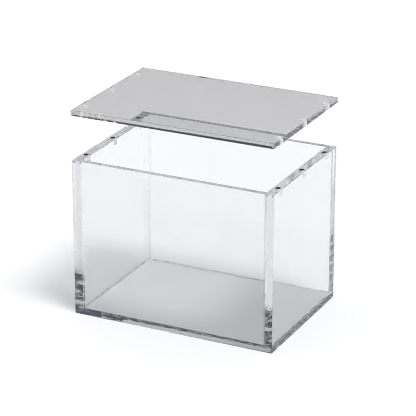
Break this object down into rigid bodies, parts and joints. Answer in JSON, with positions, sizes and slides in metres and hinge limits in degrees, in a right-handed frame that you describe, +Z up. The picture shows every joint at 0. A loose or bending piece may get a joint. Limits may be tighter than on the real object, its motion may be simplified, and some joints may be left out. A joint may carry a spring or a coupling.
{
  "type": "acrylic display case",
  "caption": "Clear sheet display case: an open-topped rectangular box of cemented panels with a flat lift-off lid that disc magnets in the wall tops and the lid hold in place.",
  "frame": {"origin": "middle of the underside of the base panel, on the surface the case stands on", "axes": "+Z up, along the way the lid lifts; front panel towards -Y; +X to the right seen from the front"},
  "size_m": [0.17, 0.118, 0.1685],
  "materials": {
    "clear_sheet": "clear cast acrylic, polished faces and edges",
    "clear_lid": "clear cast acrylic, polished faces and edges",
    "magnet": "black epoxy coating"
  },
  "bodies": {
    "case": {"base_panel": "clear_sheet", "side_wall_left": "clear_sheet", "side_wall_right": "clear_sheet", "front_panel": "clear_sheet", "back_panel": "clear_sheet", "wall_magnet_left_front": "magnet", "wall_magnet_left_middle": "magnet", "wall_magnet_left_back": "magnet", "wall_magnet_right_front": "magnet", "wall_magnet_right_middle": "magnet", "wall_magnet_right_back": "magnet"},
    "lid": {"lid_panel": "clear_lid", "lid_magnet_left_front": "magnet", "lid_magnet_left_middle": "magnet", "lid_magnet_left_back": "magnet", "lid_magnet_right_front": "magnet", "lid_magnet_right_middle": "magnet", "lid_magnet_right_back": "magnet"}
  },
  "joints": [
    {"name": "lid_lift", "type": "slide", "parent": "case", "child": "lid", "axis": [0, 0, 1], "range_m": [-0.036, 0.094]}
  ]
}
